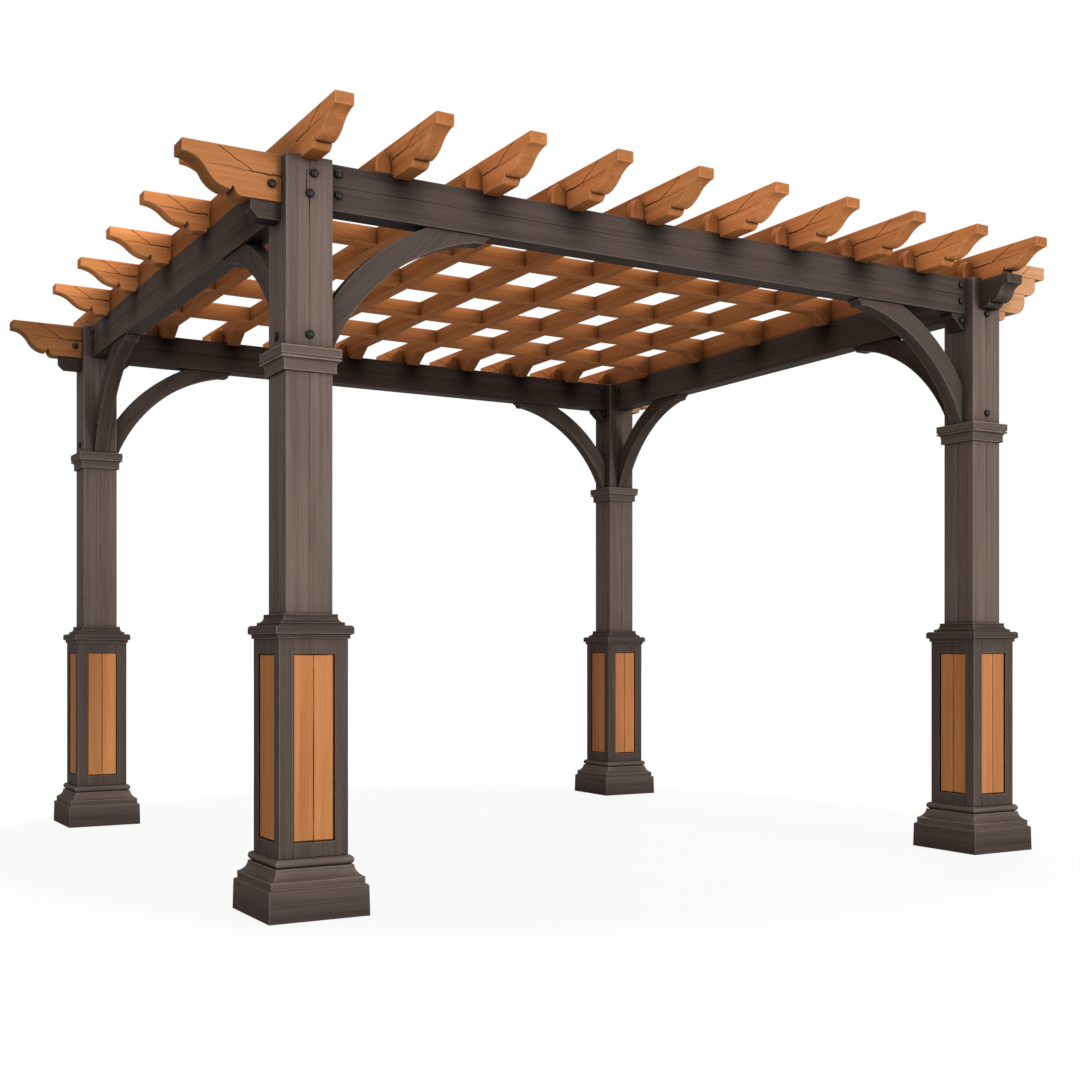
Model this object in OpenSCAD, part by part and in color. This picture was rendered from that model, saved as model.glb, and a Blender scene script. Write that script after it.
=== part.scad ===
// Timber pergola on four panelled pedestals, with scroll-ended rafters laid in a grid.
// The origin is on the ground under the middle of the roof. X runs along the front,
// Y from front to back and Z up.

/* [Layout] */
// Distance between the centres of the posts along the front
span_x = 2880; // [2200:10:4200]
// Distance between the centres of the posts from front to back
span_y = 2550; // [2200:10:4200]
// Headroom from the ground to the underside of the beams
headroom = 2130; // [2050:5:2700]

/* [Posts] */
// Width of each face of a post
post_w = 150; // [120:1:180]
// Gap between a post and the pieces that wrap it
wrap_gap = 0.3; // [0.1:0.1:0.8]

/* [Plinth] */
// Height of the square plinth block
plinth_h = 95; // [60:1:160]
// Width of the flat ledge between the plinth's chamfer and the moulding on top of it
plinth_ledge = 5; // [2:1:40]
// How far each side of the plinth leans in from bottom to top
plinth_lean = 2; // [0.5:0.5:6]
// Chamfer round the plinth's top edge
plinth_chamfer = 4; // [1:0.5:8]
// Height of the flat band over the plinth
base_band_h = 20; // [8:1:40]
// How far the flat band stands out from the pedestal
base_reach = 39; // [28:1:50]
// Radius of the hollow above the flat band
base_hollow_r = 37; // [30:1:60]
// Radius of the half-round bead under the pedestal
base_bead_r = 14; // [6:0.5:18]

/* [Pedestal] */
// Thickness of the pedestal's frame round the post
pedestal_wall = 35; // [28:1:60]
// Height of the pedestal between its base moulding and its cap
pedestal_h = 648; // [400:1:900]
// Width of the corner stiles, seen on each side
stile_w = 44; // [37:1:60]
// Height of the rails at the top and bottom
rail_h = 45; // [25:1:80]

/* [Panels] */
// How far the boards lie behind the face of the frame
panel_recess = 4; // [2:1:16]
// Gap between the boards and the frame round them
panel_gap = 0.3; // [0.1:0.1:0.8]
// Chamfer along the edges of the boards
panel_bevel = 5; // [1:0.5:8]
// Width of the groove between the two boards of a side
panel_groove_w = 6; // [2:0.5:12]

/* [Cap] */
// How far the cap stands out from the pedestal
cap_reach = 14; // [8:1:30]
// Height of the cap's face
cap_face_h = 26; // [14:1:50]
// Radius of the cap's top edge
cap_edge_r = 9; // [3:1:12]
// How far the lower neck ring stands out from the post
neck_reach = 28; // [16:1:32]
// How far the upper neck ring stands out from the post
neck_top_reach = 12; // [5:1:14]
// Height of each flat ring of the neck
neck_ring_h = 9; // [4:1:16]

/* [Collar] */
// Height of the collar's lower edge above the ground
collar_z = 1625; // [1300:5:1700]
// How far the lower band stands out from the post
collar_low_reach = 9; // [4:1:12]
// How far the upper band stands out from the post
collar_reach = 21; // [15:1:34]
// Height of the lower band
collar_low_h = 24; // [8:1:40]
// Height of the upper band
collar_high_h = 36; // [16:1:60]
// Height of the fillet under the line that is cut round the upper band
collar_fillet_h = 6; // [3:0.5:10]
// Width and depth of that line
collar_line = 4; // [1:0.5:5]

/* [Beams] */
// Height of the beams
beam_h = 142; // [120:1:220]
// Thickness of the beams
beam_t = 80; // [70:1:100]

/* [Rafters] */
// How many rafters run from front to back
rafters_deep = 10; // [5:1:10]
// How many rafters run across, over the left and right beams
rafters_wide = 5; // [2:1:5]
// Distance between the centres of the crosswise rafters
cross_pitch = 465; // [300:5:540]
// Height of the rafters
rafter_h = 112; // [100:1:160]
// Thickness of the rafters
rafter_t = 60; // [40:1:66]
// How deep the rafters are let down over the beams
seat = 12; // [4:1:25]
// How much is taken off the underside of the rafters between the beams
relief = 46; // [20:1:60]
// Length of the slope at each end of the shallower part
relief_slope = 70; // [20:5:150]
// Length of full rafter left inside each beam
relief_shoulder = 25; // [10:1:80]
// Gap on each side of a rafter where it is let over another piece
lap_gap = 0.4; // [0.1:0.1:0.8]
// How far the front-to-back rafters reach past the post centres
overhang_y = 340; // [300:5:500]
// How far the crosswise rafters reach past the post centres
overhang_x = 265; // [250:5:500]

/* [Scroll ends] */
// Height of the upright nose of a scroll end
nose_h = 36; // [20:1:44]
// Length of the double curve behind the nose
scroll_run = 150; // [80:1:170]
// Depth of wood left below the low point of the double curve
scroll_lip = 16; // [8:1:22]
// Radius of the foot behind the double curve
foot_r = 26; // [23:1:32]
// Width of the nick between the double curve and the foot
nick_w = 8; // [4:1:14]

/* [Corner pieces] */
// Length of the corner tails, from the face of the post
corner_l = 305; // [275:5:420]
// Length of the lowest block of the stepped tails on the right-hand posts
step_foot_l = 72; // [40:1:120]
// Length of the low board of the stepped tails
step_low_l = 188; // [130:1:220]
// Length of the middle board of the stepped tails
step_mid_l = 250; // [225:1:270]
// Height of the lowest block of the stepped tails
step_foot_h = 36; // [20:1:40]
// Height of the low board of the stepped tails
step_low_h = 82; // [60:1:84]
// Height of the middle board of the stepped tails
step_mid_h = 72; // [50:1:74]
// Radius of the lower corner of the low board
step_low_r = 50; // [30:1:54]
// Radius of the lower corner of the middle board
step_mid_r = 36; // [10:1:40]
// Radius of the lower corner of the lowest block and of the top board
step_edge_r = 12; // [4:1:18]
// Length of the dark stub tails on the front and back of the right-hand posts
stub_l = 140; // [120:5:200]
// Height of the stub tails
stub_h = 112; // [104:1:118]
// Length of the double curve of the stub tails
stub_run = 82; // [50:1:84]
// Length of the corbels under the corner tails
corbel_l = 95; // [60:1:140]
// Height of the corbels under the corner tails
corbel_h = 54; // [30:1:80]
// Chamfer at the lower end of the corbels
corbel_chamfer = 24; // [8:1:28]
// Length of the brackets under the beams
bracket_l = 70; // [30:1:80]
// Height of the brackets under the beams
bracket_h = 62; // [30:1:80]
// Width left at the ends of a bracket's slope
bracket_lip = 12; // [5:1:25]
// Width of the corbels and the brackets
corbel_t = 66; // [40:1:70]

/* [Braces] */
// Radius of a knee brace's hollow side
brace_r = 670; // [600:5:720]
// Depth of a brace between its two curves
brace_w = 75; // [50:1:110]
// Thickness of a brace
brace_t = 60; // [30:1:70]
// Length of a brace along the beam, from the face of the post to its tip
brace_run = 564; // [420:1:700]
// Depth of wood at the foot of a brace, where it stands on the collar
brace_foot_w = 15; // [8:1:60]
// Height of wood left at the tip, under the beam
brace_tip_h = 26; // [22:1:40]
// Length of the flat behind the tip
brace_tip_l = 52; // [30:1:80]
// Height of the tip's upright end
brace_nose_h = 8; // [4:1:16]

/* [Cleats] */
// Width of the arched cleats beside the rafters
cleat_w = 56; // [30:1:80]
// Height of the cleats over the beam
cleat_h = 74; // [60:1:95]
// Height of a cleat's straight sides, where its arch begins
cleat_spring = 27; // [5:1:30]
// Thickness of the cleats
cleat_t = 40; // [15:1:60]
// How far the cleats stand back from the outer face of the beam
cleat_setback = 4; // [1:1:10]

/* [Hidden] */
$fn = 64;
// Overlap of a cutter past the face that it cuts
over = 1;
beam_top = headroom + beam_h;
rafter_z = beam_top - seat;
// Height in the rafters where the two directions are halved into each other
lap_z = (relief + rafter_h) / 2;
stack_h = beam_h - seat + rafter_h;
base_z = plinth_h;
bead_z = base_z + base_band_h + base_hollow_r;
pedestal_z = bead_z + 2 * base_bead_r;
cap_z = pedestal_z + pedestal_h;
collar_hollow_r = collar_reach - collar_low_reach;
collar_top = collar_z + collar_low_h + collar_hollow_r + collar_high_h;
pedestal_w = post_w + 2 * wrap_gap + 2 * pedestal_wall;
base_w = pedestal_w + 2 * base_reach;
plinth_w = base_w + 2 * plinth_ledge + 2 * plinth_lean + 2 * plinth_chamfer;
cap_w = pedestal_w + 2 * cap_reach;
pitch_x = span_x / (rafters_deep - 1);
LEFT = -1;
RIGHT = 1;
FRONT = -1;
BACK = 1;
DARK = [0.27, 0.235, 0.215];
CEDAR = [0.66, 0.37, 0.19];

// Places its children on a post: side_x is left or right, side_y is front or back
module at_post(side_x, side_y) {
    translate([side_x * span_x / 2, side_y * span_y / 2, 0]) children();
}

// Square moulding: an upright outline carried round four sides with mitred corners
module mitred(width) {
    intersection() {
        rotate([90, 0, 0]) linear_extrude(width + 2 * over, center = true) children();
        rotate([90, 0, 90]) linear_extrude(width + 2 * over, center = true) children();
    }
}

// The hole that a post passes through, cut out of a piece that wraps it
module wrapped(z, h) {
    hole = post_w + 2 * wrap_gap;
    difference() {
        children();
        translate([-hole / 2, -hole / 2, z - over]) cube([hole, hole, h + 2 * over]);
    }
}

// Flat band of an outline, centred on the post
module band(width, z, h) {
    translate([-width / 2, z]) square([width, h]);
}

module plinth_outline() {
    top_w = plinth_w - 2 * plinth_lean;
    polygon([
        [-plinth_w / 2, 0],
        [plinth_w / 2, 0],
        [top_w / 2, plinth_h - plinth_chamfer],
        [top_w / 2 - plinth_chamfer, plinth_h],
        [plinth_chamfer - top_w / 2, plinth_h],
        [-top_w / 2, plinth_h - plinth_chamfer]
    ]);
}

// Flat band, hollow and half-round bead between the plinth and the pedestal
module base_outline() {
    bead_x = pedestal_w / 2;
    hollow_x = bead_x + base_bead_r + base_hollow_r;
    difference() {
        band(base_w, base_z, base_band_h + base_hollow_r);
        for (side = [-1, 1]) translate([side * hollow_x, bead_z]) circle(base_hollow_r);
    }
    band(pedestal_w, bead_z, 2 * base_bead_r);
    for (side = [-1, 1]) translate([side * bead_x, bead_z + base_bead_r]) circle(base_bead_r);
}

module plinth(side_x, side_y) {
    color(DARK) at_post(side_x, side_y) wrapped(0, pedestal_z) {
        mitred(plinth_w) plinth_outline();
        mitred(base_w) base_outline();
    }
}

// Frame of corner stiles and rails, open on each side for the panels
module pedestal(side_x, side_y) {
    open_w = pedestal_w - 2 * stile_w;
    open_h = pedestal_h - 2 * rail_h;
    color(DARK) at_post(side_x, side_y) wrapped(pedestal_z, pedestal_h) difference() {
        translate([-pedestal_w / 2, -pedestal_w / 2, pedestal_z])
            cube([pedestal_w, pedestal_w, pedestal_h]);
        for (turn = [0, 90]) rotate(turn)
            translate([-open_w / 2, -pedestal_w, pedestal_z + rail_h])
                cube([open_w, 2 * pedestal_w, open_h]);
    }
}

// Plan of one side's pair of boards, with chamfered edges and a groove between them
module panel_plan() {
    half = pedestal_w / 2 - stile_w - panel_gap;
    thick = pedestal_wall - panel_recess;
    groove = panel_groove_w / 2;
    polygon([
        [-half, 0],
        [half, 0],
        [half, thick - panel_bevel],
        [half - panel_bevel, thick],
        [groove, thick],
        [0, thick - groove],
        [-groove, thick],
        [panel_bevel - half, thick],
        [-half, thick - panel_bevel]
    ]);
}

// Side view of the boards, chamfered at the top and bottom and open to the front
module panel_side(high) {
    thick = pedestal_wall - panel_recess;
    polygon([
        [-panel_bevel, 0],
        [thick - panel_bevel, 0],
        [thick + panel_bevel, 2 * panel_bevel],
        [thick + panel_bevel, high - 2 * panel_bevel],
        [thick - panel_bevel, high],
        [-panel_bevel, high]
    ]);
}

// The boards of one side: their plan, trimmed by their side view
module boards() {
    high = pedestal_h - 2 * rail_h - 2 * panel_gap;
    intersection() {
        translate([0, 0, -panel_bevel]) linear_extrude(high + 2 * panel_bevel) panel_plan();
        translate([-pedestal_w / 2, 0, 0]) rotate([90, 0, 90]) linear_extrude(pedestal_w) panel_side(high);
    }
}

module panels(side_y) {
    low = pedestal_z + rail_h + panel_gap;
    color(CEDAR) for (side_x = [LEFT, RIGHT]) at_post(side_x, side_y)
        for (turn = [0:90:270]) rotate(turn)
            translate([0, post_w / 2 + wrap_gap, low]) boards();
}

// Hollow, face with a round top edge, and two neck rings against the post
module cap_outline() {
    face_z = cap_z + cap_reach;
    top_z = face_z + cap_face_h;
    low_w = post_w + 2 * neck_reach;
    top_w = post_w + 2 * neck_top_reach;
    hollow_r = neck_reach - neck_top_reach;
    difference() {
        band(cap_w, cap_z, cap_reach + cap_face_h - cap_edge_r);
        for (side = [-1, 1]) translate([side * cap_w / 2, cap_z]) circle(cap_reach);
    }
    band(cap_w - 2 * cap_edge_r, cap_z, cap_reach + cap_face_h);
    for (side = [-1, 1]) translate([side * (cap_w / 2 - cap_edge_r), top_z - cap_edge_r]) circle(cap_edge_r);
    difference() {
        band(low_w, top_z - over, over + neck_ring_h + hollow_r);
        for (side = [-1, 1]) translate([side * low_w / 2, top_z + neck_ring_h + hollow_r]) circle(hollow_r);
    }
    band(top_w, top_z, 2 * neck_ring_h + hollow_r);
}

module caps(side_y) {
    cap_h = cap_reach + cap_face_h + 2 * neck_ring_h + neck_reach - neck_top_reach;
    color(DARK) for (side_x = [LEFT, RIGHT]) at_post(side_x, side_y)
        wrapped(cap_z, cap_h) mitred(cap_w) cap_outline();
}

module post(side_x, side_y) {
    color(DARK) at_post(side_x, side_y)
        translate([-post_w / 2, -post_w / 2, 0]) cube([post_w, post_w, beam_top]);
}

// Two bands with a hollow between them, the upper one with a line cut round it
module collar_outline() {
    low_w = post_w + 2 * collar_low_reach;
    high_w = post_w + 2 * collar_reach;
    high_z = collar_top - collar_high_h;
    difference() {
        band(high_w, collar_z, collar_top - collar_z);
        for (side = [-1, 1]) {
            translate([side * high_w / 2, high_z - collar_hollow_r]) circle(collar_hollow_r);
            translate([side * high_w / 2 - collar_line, high_z + collar_fillet_h])
                square([2 * collar_line, collar_line]);
            translate([side * (low_w + high_w) / 4 - (high_w - low_w) / 4, collar_z - over])
                square([(high_w - low_w) / 2, collar_low_h + over]);
        }
    }
}

module collars(side_y) {
    color(DARK) for (side_x = [LEFT, RIGHT]) at_post(side_x, side_y)
        wrapped(collar_z, collar_top - collar_z)
            mitred(post_w + 2 * collar_reach) collar_outline();
}

// Beam along X between the posts of the front or the back
module long_beam(side_y) {
    length = span_x - post_w;
    color(DARK) translate([-length / 2, side_y * span_y / 2 - beam_t / 2, headroom])
        cube([length, beam_t, beam_h]);
}

// Beam along Y between the posts of the left or the right
module side_beam(side_x) {
    length = span_y - post_w;
    color(DARK) translate([side_x * span_x / 2 - beam_t / 2, -length / 2, headroom])
        cube([beam_t, length, beam_h]);
}

// What is cut from the end of a squared timber to leave its scroll. The nose is at x = 0
// and the wood lies at negative x, from y = 0 up to the timber's height. Two equal arcs
// meet halfway along the run, a hollow one under the nose and a full one behind it.
module scroll_cut(height, run) {
    drop = height - nose_h - scroll_lip;
    r = (run * run + drop * drop) / (4 * drop);
    mid_y = scroll_lip + drop / 2;
    foot_x = -run - nick_w - foot_r;
    intersection() {
        translate([0, height - nose_h - r]) circle(r);
        translate([-run / 2, mid_y]) square([run / 2 + over, drop]);
    }
    translate([-run / 2, -over]) square([run / 2 + over, mid_y + over]);
    difference() {
        translate([-run, -over]) square([run / 2, mid_y + over]);
        translate([-run, scroll_lip + r]) circle(r);
    }
    difference() {
        translate([foot_x, -over]) square([nick_w + foot_r, foot_r + over]);
        translate([foot_x, foot_r]) circle(foot_r);
    }
}

// Side view of a rafter with a scroll at both ends. Its underside is cut up over a length
// of 2 * inner in the middle, where it hangs between the beams.
module rafter_outline(length, inner) {
    difference() {
        translate([-length / 2, 0]) square([length, rafter_h]);
        for (end = [0, 1]) mirror([end, 0]) translate([length / 2, 0]) scroll_cut(rafter_h, scroll_run);
        if (inner > 0) polygon([
            [-inner, -over],
            [inner, -over],
            [inner, 0],
            [inner - relief_slope, relief],
            [relief_slope - inner, relief],
            [-inner, 0]
        ]);
    }
}

// Distance of a crosswise rafter from the middle of the roof, counted from the front
function cross_y(row) = (row - (rafters_wide + 1) / 2) * cross_pitch;

// Front-to-back rafter. It is let over both beams, or over the posts and a side beam at the
// ends of the row, and is cut halfway down for each crosswise rafter.
module rafter(index) {
    x = -span_x / 2 + (index - 1) * pitch_x;
    at_end = index == 1 || index == rafters_deep;
    seat_l = at_end ? span_y + post_w + 2 * lap_gap : beam_t + 2 * lap_gap;
    seats = at_end ? [0] : [-span_y / 2, span_y / 2];
    inner = at_end ? 0 : (span_y - beam_t) / 2 - relief_shoulder;
    lap = rafter_t + 2 * lap_gap;
    if (index <= rafters_deep) color(CEDAR) translate([x, 0, rafter_z]) difference() {
        rotate([90, 0, 90]) linear_extrude(rafter_t, center = true)
            rafter_outline(span_y + 2 * overhang_y, inner);
        for (y = seats)
            translate([-rafter_t, y - seat_l / 2, -over]) cube([2 * rafter_t, seat_l, seat + over]);
        for (row = [1:rafters_wide])
            translate([-rafter_t, cross_y(row) - lap / 2, lap_z])
                cube([2 * rafter_t, lap, rafter_h]);
    }
}

// Crosswise rafter, let over the side beams and halved over each front-to-back rafter
module cross_rafter(index) {
    seat_l = beam_t + 2 * lap_gap;
    lap = rafter_t + 2 * lap_gap;
    inner = (span_x - beam_t) / 2 - relief_shoulder;
    if (index <= rafters_wide) color(CEDAR) translate([0, cross_y(index), rafter_z]) difference() {
        rotate([90, 0, 0]) linear_extrude(rafter_t, center = true)
            rafter_outline(span_x + 2 * overhang_x, inner);
        for (side = [LEFT, RIGHT])
            translate([side * span_x / 2 - seat_l / 2, -rafter_t, -over])
                cube([seat_l, 2 * rafter_t, seat + over]);
        for (column = [0:rafters_deep - 1])
            translate([-span_x / 2 + column * pitch_x - lap / 2, -rafter_t, -over])
                cube([lap, 2 * rafter_t, lap_z + over]);
    }
}

// Scroll-ended tail with its root at x = 0
module tail(length, height, run) {
    rotate([90, 0, 0]) linear_extrude(beam_t, center = true) difference() {
        square([length, height]);
        translate([length, 0]) scroll_cut(height, run);
    }
}

// Tails in line with the front and back beams, on the outer faces of the left-hand posts
module corner_tails() {
    color(CEDAR) for (side_y = [FRONT, BACK]) at_post(LEFT, side_y)
        translate([-post_w / 2, 0, headroom]) rotate(180) tail(corner_l, beam_h, scroll_run);
}

// Board of a stepped tail, with its lower outer corner rounded
module step(root, length, z, height, r) {
    rotate([90, 0, 0]) linear_extrude(beam_t, center = true) translate([0, z]) {
        translate([root, r]) square([length - root, height - r]);
        translate([root, 0]) square([length - root - r, height]);
        translate([length - r, r]) circle(r);
    }
}

// Tails of four stacked boards on the outer faces of the right-hand posts. The top board
// reaches in over the post to the last rafter.
module stepped_tails() {
    mid_z = step_foot_h + step_low_h;
    top_z = mid_z + step_mid_h;
    color(CEDAR) for (side_y = [FRONT, BACK]) at_post(RIGHT, side_y)
        translate([post_w / 2, 0, headroom]) {
            step(0, step_foot_l, 0, step_foot_h, step_edge_r);
            step(0, step_low_l, step_foot_h, step_low_h, step_low_r);
            step(0, step_mid_l, mid_z, step_mid_h, step_mid_r);
            step((rafter_t - post_w) / 2 + lap_gap, corner_l, top_z, stack_h - top_z, step_edge_r);
        }
}

// Dark tails in line with the right beam, under the last rafter
module stub_tails() {
    color(DARK) for (side_y = [FRONT, BACK]) at_post(RIGHT, side_y)
        translate([0, side_y * post_w / 2, rafter_z - stub_h])
            rotate(side_y * 90) tail(stub_l, stub_h, stub_run);
}

// Block under a tail, chamfered below, with its root at x = 0 and its top at z = 0
module corbel() {
    rotate([90, 0, 0]) linear_extrude(corbel_t, center = true) polygon([
        [0, 0],
        [corbel_l, 0],
        [corbel_l, corbel_chamfer - corbel_h],
        [corbel_l - corbel_chamfer, -corbel_h],
        [0, -corbel_h]
    ]);
}

// Sloping bracket in the corner between a post and a beam
module bracket() {
    rotate([90, 0, 0]) linear_extrude(corbel_t, center = true) polygon([
        [0, 0],
        [bracket_l, 0],
        [bracket_l, -bracket_lip],
        [bracket_lip, -bracket_h],
        [0, -bracket_h]
    ]);
}

// Corbels under the corner tails, and brackets under the front and back beams on every post
// but the front left one
module corbels() {
    color(DARK) for (side_y = [FRONT, BACK]) at_post(LEFT, side_y)
        translate([-post_w / 2, 0, headroom]) rotate(180) corbel();
    color(DARK) for (side_y = [FRONT, BACK]) at_post(RIGHT, side_y)
        translate([-post_w / 2, 0, headroom]) rotate(180) bracket();
    color(DARK) at_post(LEFT, BACK) translate([post_w / 2, 0, headroom]) bracket();
}

// Side view of a knee brace with the post's face at x = 0 and the beam's underside at y = 0
module brace_outline() {
    rise = headroom - collar_top;
    foot = [brace_foot_w, -rise];
    neck = [brace_run - brace_tip_l, -brace_tip_h];
    chord = norm(neck - foot);
    along = (neck - foot) / chord;
    centre = (foot + neck) / 2 + sqrt(brace_r * brace_r - chord * chord / 4) * [along[1], -along[0]];
    cove_r = brace_tip_h - brace_nose_h;
    difference() {
        union() {
            intersection() {
                difference() {
                    translate(centre) circle(brace_r + brace_w, $fn = 128);
                    translate(centre) circle(brace_r, $fn = 128);
                }
                translate([0, -rise]) square([brace_run, rise]);
            }
            translate([brace_run - brace_tip_l - brace_tip_h, -brace_tip_h])
                square([brace_tip_l + brace_tip_h, brace_tip_h]);
        }
        translate([brace_run, -brace_tip_h]) circle(cove_r);
    }
}

module brace() {
    rotate([90, 0, 0]) linear_extrude(brace_t, center = true) brace_outline();
}

// Pair of braces under the front or back beam
module long_braces(side_y) {
    color(DARK) for (side_x = [LEFT, RIGHT]) at_post(side_x, side_y)
        translate([-side_x * post_w / 2, 0, headroom]) rotate(side_x == RIGHT ? 180 : 0) brace();
}

// Pair of braces under the left or right beam
module side_braces(side_x) {
    color(DARK) for (side_y = [FRONT, BACK]) at_post(side_x, side_y)
        translate([0, -side_y * post_w / 2, headroom]) rotate(-side_y * 90) brace();
}

// Front view of a cleat: straight sides under a pointed arch, struck from two centres
module cleat_outline() {
    half = cleat_w / 2;
    rise = cleat_h - cleat_spring;
    r = (rise * rise + half * half) / cleat_w;
    translate([-half, 0]) square([cleat_w, cleat_spring]);
    intersection() {
        translate([r - half, cleat_spring]) circle(r);
        translate([half - r, cleat_spring]) circle(r);
        translate([-half, cleat_spring]) square([cleat_w, rise]);
    }
}

// Cleats on a beam, each against the left face of its rafter. The first rafter has none.
module cleats(side_y) {
    y = side_y * (span_y / 2 + beam_t / 2 - cleat_setback - cleat_t / 2);
    color(CEDAR) for (column = [1:rafters_deep - 1])
        translate([-span_x / 2 + column * pitch_x - (rafter_t + cleat_w) / 2, y, beam_top])
            rotate([90, 0, 0]) linear_extrude(cleat_t, center = true) cleat_outline();
}

plinth(LEFT, FRONT);  // front_left_plinth
plinth(RIGHT, FRONT);  // front_right_plinth
plinth(LEFT, BACK);  // back_left_plinth
plinth(RIGHT, BACK);  // back_right_plinth
pedestal(LEFT, FRONT);  // front_left_pedestal
pedestal(RIGHT, FRONT);  // front_right_pedestal
pedestal(LEFT, BACK);  // back_left_pedestal
pedestal(RIGHT, BACK);  // back_right_pedestal
panels(FRONT);  // front_panels
panels(BACK);  // back_panels
caps(FRONT);  // front_caps
caps(BACK);  // back_caps
post(LEFT, FRONT);  // front_left_post
post(RIGHT, FRONT);  // front_right_post
post(LEFT, BACK);  // back_left_post
post(RIGHT, BACK);  // back_right_post
collars(FRONT);  // front_collars
collars(BACK);  // back_collars
long_beam(FRONT);  // front_beam
long_beam(BACK);  // back_beam
side_beam(LEFT);  // left_beam
side_beam(RIGHT);  // right_beam
long_braces(FRONT);  // front_braces
long_braces(BACK);  // back_braces
side_braces(LEFT);  // left_braces
side_braces(RIGHT);  // right_braces
rafter(1);  // rafter_1
rafter(2);  // rafter_2
rafter(3);  // rafter_3
rafter(4);  // rafter_4
rafter(5);  // rafter_5
rafter(6);  // rafter_6
rafter(7);  // rafter_7
rafter(8);  // rafter_8
rafter(9);  // rafter_9
rafter(10);  // rafter_10
cross_rafter(1);  // cross_rafter_1
cross_rafter(2);  // cross_rafter_2
cross_rafter(3);  // cross_rafter_3
cross_rafter(4);  // cross_rafter_4
cross_rafter(5);  // cross_rafter_5
corner_tails();
stepped_tails();
stub_tails();
corbels();
cleats(FRONT);  // front_cleats
cleats(BACK);  // back_cleats
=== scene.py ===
# %% [markdown]
# # Dressing a timber pergola
#
# The pergola arrives as solids that are already cut to shape: plinths, panelled pedestals, posts,
# collars, beams, knee braces and a grid of scroll-ended rafters. This lesson gives them what the
# saw and the drawing leave out: stained and oiled wood, eased edges, joint lines, drying cracks
# and bolt heads. Some light and shade is painted too: pale edges that are partly a painted
# highlight, painted shade where timbers meet, the rafters' painted shadows on the beams, tails
# painted lighter than the grid, and pieces set lighter or darker after the light they get.
# Everything stays in the frame of the solids, in metres, with the ground at z = 0.

# %% Load the solids
import math

import bpy
import numpy as np
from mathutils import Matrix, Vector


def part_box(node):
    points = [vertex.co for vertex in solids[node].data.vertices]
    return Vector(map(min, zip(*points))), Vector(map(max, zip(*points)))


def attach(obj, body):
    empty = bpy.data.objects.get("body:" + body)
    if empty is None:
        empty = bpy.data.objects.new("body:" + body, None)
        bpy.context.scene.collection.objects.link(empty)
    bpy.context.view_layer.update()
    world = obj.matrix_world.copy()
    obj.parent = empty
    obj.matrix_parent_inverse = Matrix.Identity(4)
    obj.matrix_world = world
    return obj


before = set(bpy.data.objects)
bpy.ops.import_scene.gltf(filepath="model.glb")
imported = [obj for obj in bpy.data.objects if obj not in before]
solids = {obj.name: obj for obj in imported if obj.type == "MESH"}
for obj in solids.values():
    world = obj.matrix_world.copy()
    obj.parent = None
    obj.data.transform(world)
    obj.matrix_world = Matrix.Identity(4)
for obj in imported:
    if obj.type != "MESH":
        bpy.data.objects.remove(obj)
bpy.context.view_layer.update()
scene = bpy.context.scene
scene.view_settings.view_transform = "Standard"

# %% [markdown]
# ## Main lines of the frame
#
# Bolts and cracks are placed by the timbers they sit on. A solid's own box says where its faces
# are, so these lengths are measured from the solids and follow them when a size changes.

# %% Measure the timbers
def box_of(name):
    """Lowest and highest corner of a solid, as arrays."""
    return [np.array(corner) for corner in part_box(name)]


def points_of(name):
    """All points of a solid's mesh, as an (n, 3) array."""
    mesh = solids[name].data
    flat = np.empty(3 * len(mesh.vertices), np.float32)
    mesh.vertices.foreach_get("co", flat)
    return flat.reshape(-1, 3)


post_low, post_high = box_of("front_right_post")
beam_low, beam_high = box_of("front_beam")
POST_X = (post_low[0] + post_high[0]) / 2
POST_Y = -(post_low[1] + post_high[1]) / 2
POST_HALF = (post_high[0] - post_low[0]) / 2
BEAM_HALF = (beam_high[1] - beam_low[1]) / 2
BEAM_Z = beam_low[2]
BEAM_TOP = beam_high[2]
COLLAR_TOP = box_of("front_collars")[1][2]
RAFTER_PITCH = box_of("rafter_2")[0][0] - box_of("rafter_1")[0][0]
CROSS_PITCH = box_of("cross_rafter_2")[0][1] - box_of("cross_rafter_1")[0][1]
RAFTER_FIRST = sum(box_of("rafter_1"))[0] / 2
CROSS_FIRST = sum(box_of("cross_rafter_1"))[1] / 2
stiles = points_of("front_right_pedestal")
front_face = stiles[stiles[:, 1] < stiles[:, 1].min() + 1e-4]
HALF_OPENING = float(np.abs(front_face[:, 0] - POST_X).min())
print("posts at", round(POST_X, 3), round(POST_Y, 3))
print("beams from", round(BEAM_Z, 3), "to", round(BEAM_TOP, 3))

# %% [markdown]
# ## The camera
#
# The camera that fits the photograph best stands at about table height, well to the left of the
# front left post, and is held level. The upright posts stay upright in the picture, so the camera
# is not tipped; the frame is shifted up instead, as a view camera's back would be. The lens is
# given in pixels of the square photograph, which makes it a matter of proportion: focal length
# over picture width. The eye's place is in metres.

# %% Camera
PHOTO = 1080
FOCAL = 1405.6
LEVEL_POINT = (485.0, 650.7)
TURN = math.radians(28.97)
EYE = (-3.0157, -5.2772, 0.7921)

lens = bpy.data.cameras.new("photo_camera")
lens.sensor_width = 36.0
lens.lens = FOCAL / PHOTO * lens.sensor_width
lens.shift_x = (PHOTO / 2 - LEVEL_POINT[0]) / PHOTO
lens.shift_y = (LEVEL_POINT[1] - PHOTO / 2) / PHOTO
camera = bpy.data.objects.new("photo_camera", lens)
camera.location = EYE
camera.rotation_euler = (math.pi / 2, 0.0, -TURN)
scene.collection.objects.link(camera)
scene.camera = camera
print("lens", round(lens.lens, 1), "mm, shift", round(lens.shift_x, 3), round(lens.shift_y, 3))

# %% [markdown]
# ## Node helpers
#
# Every material below is a small network of nodes. A few helpers keep the cells readable: one adds
# a node, sets its options and fills or links its inputs, one opens a node group with named
# sockets, and the others are short forms of the nodes used most.

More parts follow.
